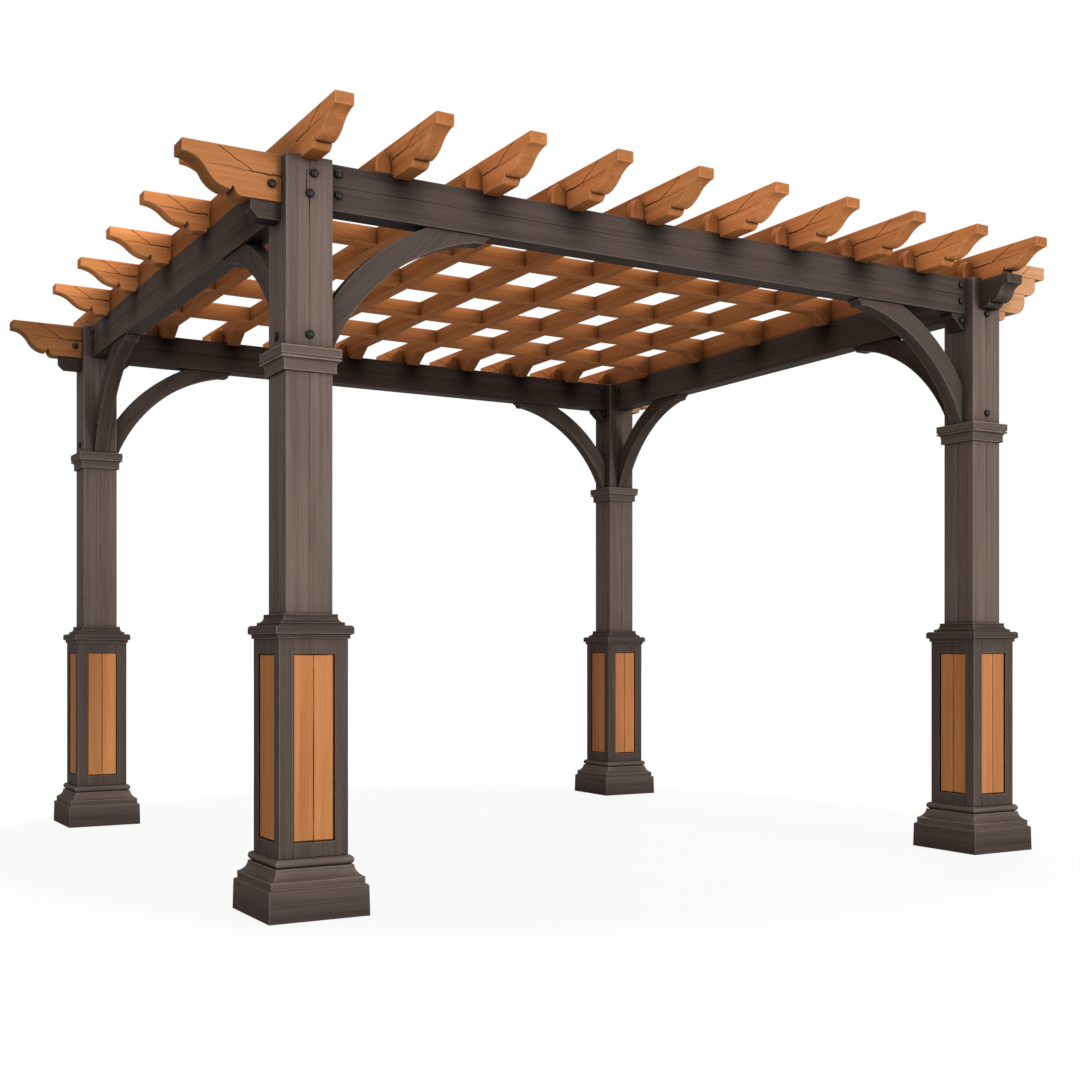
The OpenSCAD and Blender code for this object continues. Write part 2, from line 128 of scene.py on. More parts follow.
# %% Node helpers
def fill_socket(tree, socket, value):
    """Links a socket, or sets its value."""
    if isinstance(value, bpy.types.NodeSocket):
        tree.links.new(value, socket)
    else:
        socket.default_value = value


def add(tree, kind, inputs=None, **options):
    """Adds a node, sets its options, then links or fills the inputs named or numbered."""
    made = tree.nodes.new(kind)
    for name, value in options.items():
        setattr(made, name, value)
    for key, value in (inputs or {}).items():
        fill_socket(tree, made.inputs[key], value)
    return made


def maths(tree, operation, *values, clamp=False):
    """One Math node; gives its output."""
    made = add(tree, "ShaderNodeMath", dict(enumerate(values)), operation=operation, use_clamp=clamp)
    return made.outputs[0]


def vectors(tree, operation, *values):
    """One Vector Math node; gives its vector output."""
    return add(tree, "ShaderNodeVectorMath", dict(enumerate(values)), operation=operation).outputs[0]


def spread(tree, value, low, high, to_low=0.0, to_high=1.0, kind="LINEAR"):
    """Map Range from low..high to to_low..to_high, held at the ends."""
    sockets = {0: value, 1: low, 2: high, 3: to_low, 4: to_high}
    return add(tree, "ShaderNodeMapRange", sockets, interpolation_type=kind).outputs[0]


def noise(tree, place, scale, detail):
    """Plain noise, scale cells a metre; gives its value."""
    made = add(tree, "ShaderNodeTexNoise", {"Vector": place, "Scale": scale, "Detail": detail})
    return made.outputs[0]


def blend_colours(tree, factor, first, second, kind="MIX"):
    """Mix of two colours by a factor; gives the colour."""
    mix = tree.nodes.new("ShaderNodeMix")
    mix.data_type = "RGBA"
    mix.blend_type = kind
    for number, value in ((0, factor), (6, first), (7, second)):
        fill_socket(tree, mix.inputs[number], value)
    return mix.outputs[2]


def tint(tree, colour, tone):
    """A colour multiplied by a grey value."""
    grey = add(tree, "ShaderNodeCombineColor", {0: tone, 1: tone, 2: tone}).outputs[0]
    return blend_colours(tree, 1.0, colour, grey, "MULTIPLY")


def placed(tree, group, values):
    """A node group set into a material, with its inputs linked or filled; gives its outputs."""
    return add(tree, "ShaderNodeGroup", values, node_tree=group).outputs


def open_group(name, inputs, outputs):
    """A shader node group with sockets given as name: (type, default); gives tree, input and output."""
    tree = bpy.data.node_groups.new(name, "ShaderNodeTree")
    for side, sockets in (("INPUT", inputs), ("OUTPUT", outputs)):
        for label, (kind, start) in sockets.items():
            made = tree.interface.new_socket(name=label, in_out=side, socket_type="NodeSocket" + kind)
            if start is not None:
                made.default_value = start
    return tree, tree.nodes.new("NodeGroupInput"), tree.nodes.new("NodeGroupOutput")


def blank_material(name):
    """A material with an empty node tree; gives both."""
    material = bpy.data.materials.new(name)
    material.use_nodes = True
    material.node_tree.nodes.clear()
    return material, material.node_tree


def white_seen(tree):
    """One for rays by which the white surroundings are seen: straight, in a reflection or through."""
    path = add(tree, "ShaderNodeLightPath").outputs
    mirrored = maths(tree, "MAXIMUM", path["Is Glossy Ray"], path["Is Transmission Ray"])
    return maths(tree, "MAXIMUM", path["Is Camera Ray"], mirrored)


print("helpers ready")

# %% [markdown]
# ## Light, floor and background
#
# The photograph is a studio cut-out: white all round, soft light from the front right that leaves
# the left faces less than half as bright, and no hard shadow. One large lamp would do for that side
# alone. Four square lamps also let the pergola be looked at from behind: a key at the front right,
# a weaker lamp at the front left for the tails, one behind, and one above for the tops of the
# rafters. A dim, warm world fills the rest. The white that is seen, straight or in a reflection, is
# picked by the kind of ray, so it adds no diffuse light to the wood. The floor is pale, keeps a
# faint shadow, and fades to the same white.

# %% World
FILL = 0.39
FILL_COLOUR = (1.0, 0.93, 0.86, 1.0)
WHITE = (1.0, 1.0, 1.0, 1.0)
world = bpy.data.worlds.new("studio")
world.use_nodes = True
scene.world = world
sky = world.node_tree
sky.nodes.clear()
fill = add(sky, "ShaderNodeBackground", {"Color": FILL_COLOUR, "Strength": FILL})
white = add(sky, "ShaderNodeBackground", {"Color": WHITE, "Strength": 1.0})
either = add(sky, "ShaderNodeMixShader", {0: white_seen(sky), 1: fill.outputs[0], 2: white.outputs[0]})
add(sky, "ShaderNodeOutputWorld", {0: either.outputs[0]})
print("world fill", FILL)

# %% Lamps
def soft_lamp(name, place, target, size, watts, colour):
    """A square area lamp at a place, turned to face a target."""
    data = bpy.data.lights.new(name, "AREA")
    data.shape = "SQUARE"
    data.size = size
    data.energy = watts
    data.color = colour
    lamp = bpy.data.objects.new(name, data)
    aim = np.subtract(target, place)
    lean = math.acos(-aim[2] / np.linalg.norm(aim))
    lamp.location = place
    lamp.rotation_euler = (lean, 0.0, math.atan2(aim[1], aim[0]) - math.pi / 2)
    scene.collection.objects.link(lamp)


WARM_WHITE = (1.0, 0.985, 0.97)
# Place, target, size in metres and power in watts
LAMPS = {
    "key_lamp": ((4.6, -13.0, 3.2), (0.0, 0.0, 1.6), 3.6, 1130.0),
    "side_lamp": ((-6.0, -9.5, 2.8), (-0.5, -0.5, 2.0), 2.4, 430.0),
    "back_lamp": ((8.5, 8.5, 4.2), (0.0, 0.0, 1.4), 3.6, 950.0),
    "top_lamp": ((0.6, 0.8, 9.0), (0.0, 0.0, 0.0), 3.6, 210.0),
}
for name, (place, target, size, watts) in LAMPS.items():
    soft_lamp(name, place, target, size, watts, WARM_WHITE)
    print(name, size, "m,", watts, "W")

# %% Floor
HALF_FLOOR = 40.0
FLOOR_GREY = (0.36, 0.36, 0.355, 1.0)
FLOOR_GLOW = 1.12
FADE_FROM = 2.0
FADE_TO = 3.4
NEAR_WHITE = 0.80
floor_corners = [(-HALF_FLOOR, -HALF_FLOOR, 0.0), (HALF_FLOOR, -HALF_FLOOR, 0.0),
                 (HALF_FLOOR, HALF_FLOOR, 0.0), (-HALF_FLOOR, HALF_FLOOR, 0.0)]
floor_mesh = bpy.data.meshes.new("studio_floor")
floor_mesh.from_pydata(floor_corners, [], [(0, 1, 2, 3)])
floor = bpy.data.objects.new("studio_floor", floor_mesh)
scene.collection.objects.link(floor)
paint, tree = blank_material("studio_floor")
where = add(tree, "ShaderNodeTexCoord").outputs["Object"]
distance = add(tree, "ShaderNodeVectorMath", {0: where}, operation="LENGTH").outputs[1]
fade = spread(tree, distance, FADE_FROM, FADE_TO, NEAR_WHITE, 1.0)
seen = maths(tree, "MULTIPLY", white_seen(tree), fade)
pale = add(tree, "ShaderNodeBsdfDiffuse", {"Color": FLOOR_GREY})
glow = add(tree, "ShaderNodeEmission", {"Color": WHITE, "Strength": FLOOR_GLOW})
either = add(tree, "ShaderNodeMixShader", {0: seen, 1: pale.outputs[0], 2: glow.outputs[0]})
add(tree, "ShaderNodeOutputMaterial", {0: either.outputs[0]})
floor_mesh.materials.append(paint)
print("floor", 2 * HALF_FLOOR, "m square")

# %% [markdown]
# ## Wood grain
#
# Sawn timber shows broad growth bands, streaks a few millimetres wide and fine fibres along its
# length, and its colour is patchy. All four are noise that is stretched along the timber, so one
# group with a vector whose first axis runs along the grain serves every piece. Image textures need
# unwrapping and repeat; noise in space does neither, and it shows end grain on the ends of a timber
# by itself.

# %% Grain group
grain_tree, inside, outside = open_group(
    "timber_grain",
    {"Along": ("Vector", None), "Pale": ("Color", (0.5, 0.25, 0.1, 1.0)),
     "Deep": ("Color", (0.3, 0.1, 0.03, 1.0)), "Polish": ("Float", 0.5), "Mottle": ("Float", 0.2)},
    {"Colour": ("Color", None), "Roughness": ("Float", None), "Height": ("Float", None)})


def stretched(lengthwise, across, detail, rough, twist):
    """Noise with so many cells a metre along the timber and across it."""
    stretch = vectors(grain_tree, "MULTIPLY", inside.outputs["Along"], (lengthwise, across, across))
    made = add(grain_tree, "ShaderNodeTexNoise", {
        "Vector": stretch, "Scale": 1.0, "Detail": detail, "Roughness": rough, "Distortion": twist})
    return made.outputs[0]


def weigh(first, share, second):
    """first * share + second, in the grain group."""
    return maths(grain_tree, "MULTIPLY_ADD", first, share, second)


bands = stretched(0.8, 34.0, 2.0, 0.5, 0.4)
streaks = stretched(2.2, 130.0, 3.0, 0.6, 0.2)
fibres = stretched(9.0, 620.0, 2.0, 0.6, 0.0)
patches = stretched(1.3, 5.0, 2.0, 0.5, 0.0)
figure = weigh(bands, 0.38, weigh(streaks, 0.40, maths(grain_tree, "MULTIPLY", fibres, 0.22)))
figure = spread(grain_tree, figure, 0.34, 0.66)
hue = blend_colours(grain_tree, figure, inside.outputs["Deep"], inside.outputs["Pale"])
mottle = weigh(maths(grain_tree, "SUBTRACT", patches, 0.5), inside.outputs["Mottle"], 1.0)
hue = tint(grain_tree, hue, mottle)
gloss = weigh(maths(grain_tree, "SUBTRACT", streaks, 0.5), 0.25, inside.outputs["Polish"])
ridges = weigh(streaks, 0.6, maths(grain_tree, "MULTIPLY", fibres, 0.4))
for label, value in (("Colour", hue), ("Roughness", gloss), ("Height", ridges)):
    grain_tree.links.new(value, outside.inputs[label])
print(grain_tree.name, "with", len(grain_tree.nodes), "nodes")

# %% [markdown]
# ## Worn and highlit edges, and board tone
#
# A corner of a stained timber is rubbed paler than its faces, and an eased arris catches the light,
# so the pale edge here is partly wear and partly a painted highlight. No two boards come from the
# same tree. Pale edges are found by asking how far the normal turns within a few millimetres: on a
# flat face it stays, at an arris it swings round. Board tone is one random value for each cell of a
# grid whose cells hold one board each.

# %% Edge and board groups
# Pale edges: partly wear, partly a painted highlight along each arris.
wear_and_highlight_tree, inside, outside = open_group(
    "edge_wear_and_highlight", {"Reach": ("Float", 0.005), "Along": ("Vector", None)}, {"Mask": ("Float", None)})
rounded = add(wear_and_highlight_tree, "ShaderNodeBevel", {"Radius": inside.outputs["Reach"]}, samples=6).outputs[0]
straight = add(wear_and_highlight_tree, "ShaderNodeNewGeometry").outputs["True Normal"]
same = add(wear_and_highlight_tree, "ShaderNodeVectorMath", {0: rounded, 1: straight}, operation="DOT_PRODUCT").outputs[1]
turned = spread(wear_and_highlight_tree, same, 0.997, 0.86)
chips = noise(wear_and_highlight_tree, inside.outputs["Along"], 28.0, 3.0)
mask = maths(wear_and_highlight_tree, "MULTIPLY", turned, spread(wear_and_highlight_tree, chips, 0.15, 0.50), clamp=True)
wear_and_highlight_tree.links.new(mask, outside.inputs["Mask"])

board_tree, inside, outside = open_group(
    "board_tone",
    {"Place": ("Vector", None), "Cell": ("Vector", (1.0, 1.0, 1.0)), "Shift": ("Vector", (0.0, 0.0, 0.0))},
    {"Tone": ("Float", None)})
cell = vectors(board_tree, "DIVIDE", inside.outputs["Place"], inside.outputs["Cell"])
cell = vectors(board_tree, "FLOOR", vectors(board_tree, "ADD", cell, inside.outputs["Shift"]))
board = add(board_tree, "ShaderNodeTexWhiteNoise", {"Vector": cell}).outputs[0]
board_tree.links.new(board, outside.inputs["Tone"])
print(wear_and_highlight_tree.name, "and", board_tree.name)

# %% [markdown]
# ## Painted corner shade, end grain and painted tail light
#
# Where timbers meet, the wood is darkened as painted shade, which stands partly for dust. Cut ends
# soak up more oil and turn darker. The tails that stand out past the beams are painted lighter and
# the grid between the beams darker, as painted light and shade. Each of these only makes the wood
# lighter or darker, so each is a group that gives one tone to multiply by. Painting them by hand
# would not follow a change of size. The corner shade asks Ambient Occlusion how much is blocked
# near a point, end grain asks how far a face looks along the grain, and the tail light asks how far
# a point lies past the beam.

# %% Corner shade, end grain and tail light groups
CORNER_SHADE_TONE = 0.35
TAIL_LIGHT_TONE = (0.83, 1.22)
TAIL_LIGHT_BLUR = 0.05

# Painted shade: wood that Ambient Occlusion finds closed in is darkened, partly standing for dust.
corner_shade_tree, inside, outside = open_group(
    "painted_corner_shade", {"Reach": ("Float", 0.18)}, {"Tone": ("Float", None)})
open_air = add(corner_shade_tree, "ShaderNodeAmbientOcclusion", {"Distance": inside.outputs["Reach"]}, samples=6)
dirt_and_shade = spread(corner_shade_tree, open_air.outputs["AO"], 0.45, 0.97, CORNER_SHADE_TONE, 1.0)
corner_shade_tree.links.new(dirt_and_shade, outside.inputs["Tone"])

end_tree, inside, outside = open_group(
    "end_grain", {"Normal": ("Vector", None), "Darkest": ("Float", 0.7)}, {"Tone": ("Float", None)})
looks = add(end_tree, "ShaderNodeSeparateXYZ", {0: vectors(end_tree, "ABSOLUTE", inside.outputs["Normal"])})
cut = spread(end_tree, looks.outputs[0], 0.15, 0.85, 1.0, inside.outputs["Darkest"])
end_tree.links.new(cut, outside.inputs["Tone"])

# Painted light and shade: a tail past the beam is made lighter, the grid inside the beams darker.
tail_light_tree, inside, outside = open_group(
    "painted_tail_light", {"Out": ("Float", 0.0), "Edge": ("Float", 1.0)}, {"Tone": ("Float", None)})
past = maths(tail_light_tree, "SUBTRACT", inside.outputs["Out"], inside.outputs["Edge"])
tail_light_tree.links.new(spread(tail_light_tree, past, -TAIL_LIGHT_BLUR, TAIL_LIGHT_BLUR, *TAIL_LIGHT_TONE), outside.inputs["Tone"])
print(corner_shade_tree.name, end_tree.name, "and", tail_light_tree.name)

# %% [markdown]
# ## Joint lines
#
# The posts and beams are built up from two halves, the panels from two boards, and the rails of the
# pedestals are fitted between the stiles. Each joint shows as a thin dark line on the face. It is
# too thin to cut into a solid, so it is a mask: one where a distance is within a hair of nought,
# broken up by noise along its length.

# %% Joint line group
line_tree, inside, outside = open_group(
    "joint_line",
    {"Distance": ("Float", 1.0), "Width": ("Float", 0.001), "Waver": ("Float", 0.003),
     "Place": ("Vector", None)},
    {"Mask": ("Float", None)})
wander = maths(line_tree, "SUBTRACT", noise(line_tree, inside.outputs["Place"], 3.0, 2.0), 0.5)
off = maths(line_tree, "MULTIPLY_ADD", wander, inside.outputs["Waver"], inside.outputs["Distance"])
near = maths(line_tree, "DIVIDE", maths(line_tree, "ABSOLUTE", off), inside.outputs["Width"])
broken = spread(line_tree, noise(line_tree, inside.outputs["Place"], 9.0, 3.0), 0.30, 0.52, 0.35, 1.0)
mask = maths(line_tree, "MULTIPLY", spread(line_tree, near, 1.0, 0.3), broken)
line_tree.links.new(mask, outside.inputs["Mask"])
print(line_tree.name)


# %% Distances to the joints
def axis_offsets(tree, place):
    """How far a point lies from a post's middle planes: ||x| - POST_X| and ||y| - POST_Y|."""
    parts = add(tree, "ShaderNodeSeparateXYZ", {0: vectors(tree, "ABSOLUTE", place)})
    middles = (float(POST_X), float(POST_Y))
    off = [maths(tree, "SUBTRACT", parts.outputs[i], middle) for i, middle in enumerate(middles)]
    return [maths(tree, "ABSOLUTE", value) for value in off]


def post_joint(tree, place):
    """Distance from the nearer upright plane through a post's axis."""
    return maths(tree, "MINIMUM", *axis_offsets(tree, place))


def pedestal_joint(tree, place):
    """Distance from the nearer plane in which the stiles meet the rails."""
    away = [maths(tree, "SUBTRACT", off, HALF_OPENING) for off in axis_offsets(tree, place)]
    return maths(tree, "MINIMUM", *[maths(tree, "ABSOLUTE", off) for off in away])


def beam_joint(tree, place):
    """Height above the level where the two halves of a beam meet."""
    parts = add(tree, "ShaderNodeSeparateXYZ", {0: place})
    return maths(tree, "SUBTRACT", parts.outputs[2], float(BEAM_Z + 0.52 * (BEAM_TOP - BEAM_Z)))


print("joint lines for posts, pedestals and beams")

# %% [markdown]
# ## Painted shadows of the rafters
#
# Each rafter throws a shadow on the beam below it, and that shadow is painted into the beam's
# colour: darkest at the top, fading out on its way down the beam. One group does it for all four
# beams: it folds the distance along the beam at each rafter, so that every rafter counts as nought.

# %% Rafter shadow group
SHADOW_HALF_W = 0.11
SHADOW_DROP = 0.17
SHADOW_WAVER = 0.06
SHADOW_TONE = 0.30
# Painted shadow: the beam is darkened under each rafter, as if shaded by it.
rafter_shadow_tree, inside, outside = open_group(
    "rain_stain",
    {"Run": ("Float", 0.0), "Drop": ("Float", 0.0), "Pitch": ("Float", 1.0), "Place": ("Vector", None)},
    {"Tone": ("Float", None)})
uneven = maths(rafter_shadow_tree, "SUBTRACT", noise(rafter_shadow_tree, inside.outputs["Place"], 6.0, 2.0), 0.5)
half_pitch = maths(rafter_shadow_tree, "DIVIDE", inside.outputs["Pitch"], 2.0)
folded = maths(rafter_shadow_tree, "PINGPONG", inside.outputs["Run"], half_pitch)
beside = maths(rafter_shadow_tree, "MULTIPLY_ADD", uneven, SHADOW_WAVER, folded)
below = maths(rafter_shadow_tree, "MULTIPLY_ADD", uneven, SHADOW_WAVER, inside.outputs["Drop"])
sideways = spread(rafter_shadow_tree, beside, 0.0, SHADOW_HALF_W, 1.0, 0.0, "SMOOTHSTEP")
downwards = spread(rafter_shadow_tree, below, 0.0, SHADOW_DROP, 1.0, 0.0, "SMOOTHSTEP")
in_shadow = maths(rafter_shadow_tree, "MULTIPLY", sideways, downwards)
rafter_shadow_tree.links.new(spread(rafter_shadow_tree, in_shadow, 0.0, 1.0, 1.0, SHADOW_TONE), outside.inputs["Tone"])
print(rafter_shadow_tree.name)

# %% [markdown]
# ## Which way the grain runs
#
# A timber's grain runs along its length. Turning the Object coordinates so that their first axis
# lies along the timber is enough for straight pieces. A moulding goes round four sides, so its
# grain is picked by the way each face looks. A knee brace is sawn from a plank laid on the slope,
# mirrored left to right.

# %% Grain direction
LIE = {
    "across": [], "deep": [(0.0, 0.0, -90.0)], "upright": [(0.0, 90.0, 0.0)],
    "slope_across": [(0.0, 135.0, 0.0)], "slope_deep": [(0.0, 0.0, -90.0), (0.0, 135.0, 0.0)],
}


def along_grain(tree, place, lie):
    """Object coordinates turned so that x runs along the grain; on a moulding, chosen by the normal."""
    if lie == "round":
        normal = add(tree, "ShaderNodeNewGeometry").outputs["True Normal"]
        facing = add(tree, "ShaderNodeSeparateXYZ", {0: vectors(tree, "ABSOLUTE", normal)})
        to_side = maths(tree, "GREATER_THAN", facing.outputs[0], facing.outputs[1])
        mix = add(tree, "ShaderNodeMix", data_type="VECTOR")
        for number, value in ((0, to_side), (4, place), (5, along_grain(tree, place, "deep"))):
            tree.links.new(value, mix.inputs[number])
        return mix.outputs[1]
    if lie.startswith("slope"):
        place = vectors(tree, "ABSOLUTE", place)
    for turn in LIE[lie]:
        angles = [math.radians(v) for v in turn]
        place = add(tree, "ShaderNodeMapping", {"Vector": place, "Rotation": angles}).outputs[0]
    return place


print(len(LIE) + 1, "ways for the grain to lie")

# %% [markdown]
# ## One stain and three cedars
#
# The frame is stained a dark brown grey that lets the grain through. The rafters, panels and tails
# are oiled cedar, a little paler and less saturated on the panels and the left tails, which is
# partly a painted highlight on their lit faces, and paler still on the stepped tails. A coat that
# soaks in leaves no film, so the reflection is kept very weak: with a stronger one, the white all
# round turns the dark stain milky. Each piece has a shade: partly the stain, which took lighter on
# the posts than on the beams and mouldings, and partly painted light and shade, so that pieces are
# set lighter or darker after how much light falls on them.

# %% Finishes
# Each finish's pale edge colour is partly wear and partly a painted highlight.
FINISH = {
    "dark_stain": {
        "Pale": (0.165, 0.127, 0.112), "Deep": (0.092, 0.070, 0.061), "Polish": 0.50, "Mottle": 0.5,
        "wear_and_highlight_colour": (0.370, 0.305, 0.270), "line": (0.012, 0.009, 0.008), "tone": 0.10, "bump": 0.0005},
    "cedar": {
        "Pale": (0.670, 0.272, 0.101), "Deep": (0.440, 0.153, 0.047), "Polish": 0.52, "Mottle": 0.45,
        "wear_and_highlight_colour": (0.760, 0.420, 0.210), "line": (0.060, 0.020, 0.008), "tone": 0.13, "bump": 0.0005},
    "pale_cedar": {
        "Pale": (0.675, 0.290, 0.113), "Deep": (0.455, 0.170, 0.057), "Polish": 0.52, "Mottle": 0.45,
        "wear_and_highlight_colour": (0.760, 0.420, 0.210), "line": (0.060, 0.020, 0.008), "tone": 0.13, "bump": 0.0005},
    "new_cedar": {
        "Pale": (0.600, 0.320, 0.170), "Deep": (0.440, 0.215, 0.105), "Polish": 0.55, "Mottle": 0.35,
        "wear_and_highlight_colour": (0.720, 0.480, 0.300), "line": (0.060, 0.020, 0.008), "tone": 0.08, "bump": 0.0005},
}
print(len(FINISH), "finishes:", ", ".join(FINISH))


# %% Timber
SHEEN = 0.005
SEAM_DEPTH = -1.5


def shaded(colour, shade):
    """A colour of the finish at a piece's own shade, with its alpha."""
    return tuple(shade * part for part in colour) + (1.0,)


def timber(name, finish, lie, shade=1.0, cell=(9.0, 9.0, 9.0), shift=(0.5, 0.5, 0.5), joint=None,
           gap=0.001, ends=1.0, rain=None, painted_light=None):
    """A wood material: grain, board tone, pale edges that are partly wear and partly a painted
    highlight, and painted shade where timbers meet, partly for dirt. Where asked for, ends is the tone
    of the end grain, joint gives the distance to a joint line of width gap, the painted rafter shadow
    takes the axis along a beam with the first rafter and their spacing, and the painted tail light
    takes the axis along a tail with the distance of the beam, past which the tail is painted lighter
    and before which the grid is painted darker."""
    look = FINISH[finish]
    material, tree = blank_material(name)
    place = add(tree, "ShaderNodeTexCoord").outputs["Object"]
    along = along_grain(tree, place, lie)
    grain = placed(tree, grain_tree, {
        "Along": along, "Pale": shaded(look["Pale"], shade), "Deep": shaded(look["Deep"], shade),
        "Polish": look["Polish"], "Mottle": look["Mottle"]})
    board = placed(tree, board_tree, {"Place": place, "Cell": cell, "Shift": shift})
    tone = spread(tree, board["Tone"], 0.0, 1.0, 1.0 - look["tone"], 1.0 + look["tone"])
    colour = tint(tree, grain["Colour"], tone)
    if ends < 1.0:
        normal = add(tree, "ShaderNodeNewGeometry").outputs["True Normal"]
        cut = placed(tree, end_tree, {"Normal": along_grain(tree, normal, lie), "Darkest": ends})
        colour = tint(tree, colour, cut["Tone"])
    # Painted light on the tails past the beams, painted shade on the grid between them.
    if painted_light:
        axis, edge = painted_light
        out = add(tree, "ShaderNodeSeparateXYZ", {0: vectors(tree, "ABSOLUTE", place)}).outputs[axis]
        tail_light = placed(tree, tail_light_tree, {"Out": out, "Edge": float(edge)})
        colour = tint(tree, colour, tail_light["Tone"])
    # Pale edges, partly wear and partly a painted highlight.
    wear_and_highlight = placed(tree, wear_and_highlight_tree, {"Along": along})
    colour = blend_colours(tree, wear_and_highlight["Mask"], colour, shaded(look["wear_and_highlight_colour"], math.sqrt(shade)))
    height = grain["Height"]
    if joint:
        distance = joint(tree, place)
        seam = placed(tree, line_tree, {"Distance": distance, "Width": gap, "Place": place})
        colour = blend_colours(tree, seam["Mask"], colour, shaded(look["line"], 1.0))
        height = maths(tree, "MULTIPLY_ADD", seam["Mask"], SEAM_DEPTH, height)
    # The rafters' painted shadows on the beams.
    if rain:
        axis, first, pitch = rain
        parts = add(tree, "ShaderNodeSeparateXYZ", {0: place})
        run = maths(tree, "SUBTRACT", parts.outputs[axis], float(first))
        drop = maths(tree, "SUBTRACT", float(BEAM_TOP), parts.outputs[2])
        under_rafter = placed(tree, rafter_shadow_tree, {"Run": run, "Drop": drop, "Pitch": float(pitch), "Place": place})
        colour = tint(tree, colour, under_rafter["Tone"])
    # Painted shade where timbers meet, partly standing for dust.
    corner_shade_and_dirt = placed(tree, corner_shade_tree, {})
    colour = tint(tree, colour, corner_shade_and_dirt["Tone"])
    bump = add(tree, "ShaderNodeBump", {"Height": height, "Distance": look["bump"], "Strength": 1.0})
    shader = add(tree, "ShaderNodeBsdfPrincipled", {
        "Base Color": colour, "Roughness": grain["Roughness"], "Normal": bump.outputs[0],
        "Specular IOR Level": SHEEN})
    add(tree, "ShaderNodeOutputMaterial", {0: shader.outputs[0]})
    return material


print("timber ready")

# %% [markdown]
# ## The timbers' own materials
#
# A material is a finish, a grain direction and a shade. Boards that lie side by side get a tone
# each: the cells of the tone grid are as wide as the rafters' spacing, or end at the middle of
# a panel, so a cell's edge never falls within a board.

# %% Materials
# Each shade is partly the stain and partly painted light and shade, set after the light a piece gets.
WOODS = {
    "dark_post": timber("dark_post", "dark_stain", "upright", joint=post_joint),
    "dark_collar": timber("dark_collar", "dark_stain", "round", 0.85),
    "dark_pedestal": timber("dark_pedestal", "dark_stain", "upright", 0.60, joint=pedestal_joint),
    "dark_plinth": timber("dark_plinth", "dark_stain", "round", 0.84),
    "dark_cap": timber("dark_cap", "dark_stain", "round", 0.50),
    # The beams carry the painted shadows of the rafters above them.
    "dark_beam_across": timber("dark_beam_across", "dark_stain", "across", 0.53, joint=beam_joint,
                               rain=(0, RAFTER_FIRST, RAFTER_PITCH)),
    "dark_beam_deep": timber("dark_beam_deep", "dark_stain", "deep", 0.64, joint=beam_joint,
                             rain=(1, CROSS_FIRST, CROSS_PITCH)),
    "dark_brace_across": timber("dark_brace_across", "dark_stain", "slope_across", 0.60),
    "dark_brace_deep": timber("dark_brace_deep", "dark_stain", "slope_deep", 0.52),
    "dark_stub": timber("dark_stub", "dark_stain", "deep", 0.50),
    "dark_block": timber("dark_block", "dark_stain", "across", 0.45),
    "cedar_board": timber("cedar_board", "pale_cedar", "upright", 0.80, cell=(POST_X / 20, POST_Y / 17, 9.0),
                          shift=(0.0, 0.0, 0.5), joint=post_joint, gap=0.002),
    # Past the beams the rafters' tails are painted lighter and the grid between them darker.
    "cedar_deep": timber("cedar_deep", "cedar", "deep", 1.08, cell=(RAFTER_PITCH, 9.0, 9.0),
                         shift=(0.0, 0.5, 0.5), ends=0.52, painted_light=(1, POST_Y)),
    "cedar_across": timber("cedar_across", "cedar", "across", 1.22, cell=(9.0, CROSS_PITCH, 9.0), ends=0.7,
                           painted_light=(0, POST_X)),
    "cedar_corner": timber("cedar_corner", "pale_cedar", "across", 0.70, ends=0.7),
    "cedar_stepped": timber("cedar_stepped", "new_cedar", "across", ends=0.8),
    "cedar_upright": timber("cedar_upright", "cedar", "upright", cell=(RAFTER_PITCH, 9.0, 9.0),
                            shift=(0.0, 0.5, 0.5)),
}
print(len(WOODS), "timber materials")

# %% [markdown]
# ## Dressing the solids
#
# Each solid gets the material whose grain runs its way. The sharp edges of the solids would look
# like cardboard, so three modifiers ease them: Weld joins the loose triangles, a planar Decimate
# makes each flat face one face again, and Bevel rounds what is left of the edges. The solids'
# own meshes stay as they are.

# %% Materials and eased edges
BY_ENDING = {
    "_post": ("dark_post", 0.004), "_pedestal": ("dark_pedestal", 0.0025),
    "_plinth": ("dark_plinth", 0.0015), "_caps": ("dark_cap", 0.0015),
    "_collars": ("dark_collar", 0.0012), "_panels": ("cedar_board", 0.0012),
    "_beam": ("dark_beam", 0.003), "_braces": ("dark_brace", 0.003),
    "stub_tails": ("dark_stub", 0.003), "corbels": ("dark_block", 0.003),
    "corner_tails": ("cedar_corner", 0.003), "stepped_tails": ("cedar_stepped", 0.003),
    "_cleats": ("cedar_upright", 0.012),
}


def wood_of(name):
    """The material for a solid and how far its edges are eased, in metres."""
    if "rafter_" in name:
        return ("cedar_across" if name.startswith("cross") else "cedar_deep"), 0.003
    wood, ease = next(look for ending, look in BY_ENDING.items() if name.endswith(ending))
    if wood in ("dark_beam", "dark_brace"):
        wood += "_across" if name.startswith(("front", "back")) else "_deep"
    return wood, ease


for name, solid in solids.items():
    wood, ease = wood_of(name)
    for slot in solid.material_slots:
        slot.material = WOODS[wood]
    weld = solid.modifiers.new("join", "WELD")
    weld.merge_threshold = 1e-5
    flat = solid.modifiers.new("flatten", "DECIMATE")
    flat.decimate_type = "DISSOLVE"
    flat.angle_limit = math.radians(0.5)
    round_over = solid.modifiers.new("ease", "BEVEL")
    round_over.width = ease
    round_over.segments = 2 if ease < 0.01 else 5
    round_over.limit_method = "ANGLE"
    round_over.angle_limit = math.radians(35.0)
print("dressed", len(solids), "solids")

# %% [markdown]
# ## Putting an array into a mesh
#
# The new pieces are arrays of points and faces. This helper makes the object, smooths it if
# asked, gives it its material and hangs it on the frame.

